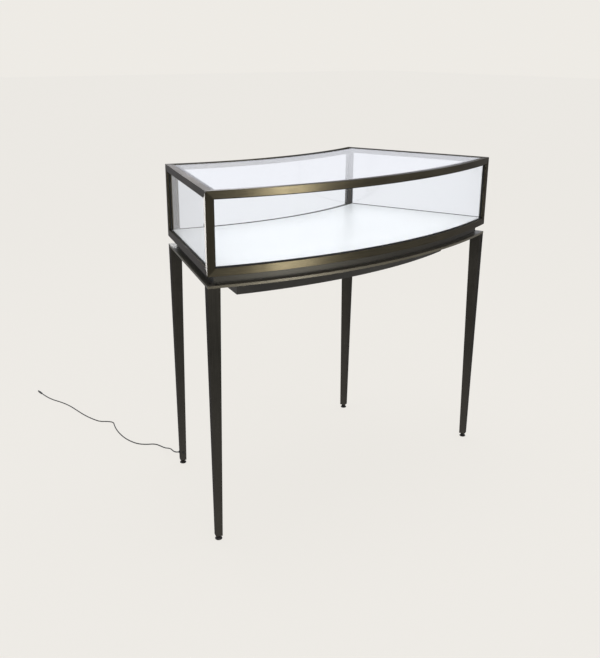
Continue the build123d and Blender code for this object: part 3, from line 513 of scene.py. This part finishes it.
# floor, backdrop colour and soft studio light
# the floor and sky aren't the same for all rays: the camera sees colour, glass passes throughGlass,
# and gloss shows the floor as inMetal, darker than it is, and the sky as sky
stageSet = {
    "colour": (0.855, 0.831, 0.787),
    "throughGlass": (0.875, 0.888, 0.925),
    "inMetal": (0.43, 0.42, 0.41),
    "sky": (0.92, 0.935, 1.0),
    "plainShare": 0.9,  # share of plain colour in the floor that the camera sees, the rest keeps the shadow
    "floorSize": 60,
    "worldStrength": 0.78,
    "worldColour": (0.955, 0.965, 1.0),
}


def addFloor():
    bpy.ops.mesh.primitive_plane_add(size=stageSet["floorSize"], location=(0, 0, 0))
    floor = bpy.context.object
    floor.name = "studioFloor"
    desk = MaterialDesk("paleFloor")
    desk.finish(colour=stageSet["colour"], roughness=0.9)
    plain = desk.node("ShaderNodeEmission", values={0: (*stageSet["colour"], 1), 1: 1.0})
    through = desk.node("ShaderNodeEmission", values={0: (*stageSet["throughGlass"], 1), 1: 1.0})
    seen = desk.node("ShaderNodeLightPath", out="Is Camera Ray")
    passed = desk.node("ShaderNodeLightPath", out="Is Transmission Ray")
    body = Signal(desk, desk.shader.outputs[0])
    mixed = desk.node("ShaderNodeMixShader", values={0: seen * stageSet["plainShare"], 1: body, 2: plain})
    mirrored = desk.node("ShaderNodeLightPath", out="Is Glossy Ray")
    dim = desk.node("ShaderNodeEmission", values={0: (*stageSet["inMetal"], 1), 1: 1.0})
    mixed = desk.node("ShaderNodeMixShader", values={0: mirrored, 1: mixed, 2: dim})
    mixed = desk.node("ShaderNodeMixShader", values={0: passed, 1: mixed, 2: through})
    desk.feed(desk.output.inputs["Surface"], mixed)
    floor.data.materials.append(desk.material)


def addWorld():
    world = bpy.data.worlds.new("studioWorld")
    bpy.context.scene.world = world
    world.use_nodes = True
    tree = world.node_tree
    light = tree.nodes["Background"]
    light.inputs[0].default_value = (*stageSet["worldColour"], 1)
    light.inputs[1].default_value = stageSet["worldStrength"]
    path = tree.nodes.new("ShaderNodeLightPath")
    shown = light.outputs[0]
    shownAs = {"Is Camera Ray": "colour", "Is Glossy Ray": "sky", "Is Transmission Ray": "throughGlass"}
    for ray, colour in shownAs.items():
        back = tree.nodes.new("ShaderNodeBackground")
        back.inputs[0].default_value = (*stageSet[colour], 1)
        mixed = tree.nodes.new("ShaderNodeMixShader")
        tree.links.new(path.outputs[ray], mixed.inputs[0])
        tree.links.new(shown, mixed.inputs[1])
        tree.links.new(back.outputs[0], mixed.inputs[2])
        shown = mixed.outputs[0]
    tree.links.new(shown, tree.nodes["World Output"].inputs["Surface"])


# stripBox, rearBox and edgeBox light only the nodes that lit allows
stripLit = ("top_rail", "bottom_rail", "base_plate", "plinth", "case_bolts")
softboxes = {
    "keyBox": {"place": (-1.2, -2.6, 3.0), "target": (0, 0, 0.6), "size": (2.0, 1.4), "power": 25},
    "topBox": {"place": (0.3, 0.4, 3.4), "target": (0, 0, 0.8), "size": (2.4, 2.0), "power": 25},
    "stripBox": {
        "place": (0.30, -2.67, 0.5),
        "target": (-0.3, -0.24, 0.86),
        "size": (0.52, 1.2),
        "power": 52,
        "colour": (1.0, 0.95, 0.82),
        "lit": lambda name: name.startswith(stripLit),
    },
    "rearBox": {
        "place": (0.9, 2.6, 2.0),
        "target": (0, 0.2, 0.8),
        "size": (1.6, 1.0),
        "power": 24,
        "lit": lambda name: "glass" not in name and "deck" not in name,
    },
    "edgeBox": {
        "place": (-0.21, 2.3, 0.31),
        "target": (-0.51, -0.18, 0.84),
        "size": (0.5, 0.9),
        "power": 40,
        "colour": (1.0, 0.99, 0.93),
        "lit": lambda name: name.startswith("corner_post_front"),
    },
}


def lightOnly(lamp, lit):
    group = bpy.data.collections.new(lamp.name + "Lit")
    for name, node in nodes.items():
        if lit(name):
            group.objects.link(node)
    lamp.light_linking.receiver_collection = group


def addSoftbox(name, box):
    data = bpy.data.lights.new(name, "AREA")
    data.shape = "RECTANGLE"
    data.size, data.size_y = box["size"]
    data.energy = box["power"]
    data.color = box.get("colour", (1, 1, 1))
    lamp = bpy.data.objects.new(name, data)
    aim = (Vector(box["target"]) - Vector(box["place"])).to_track_quat("-Z", "Y")
    lamp.matrix_world = Matrix.Translation(box["place"]) @ aim.to_matrix().to_4x4()
    bpy.context.scene.collection.objects.link(lamp)
    lamp.visible_camera = False
    if "lit" in box:
        lightOnly(lamp, box["lit"])


bpy.context.scene.view_settings.view_transform = "Standard"
addFloor()
addWorld()
for boxName, box in softboxes.items():
    addSoftbox(boxName, box)
print("stage and lights done")
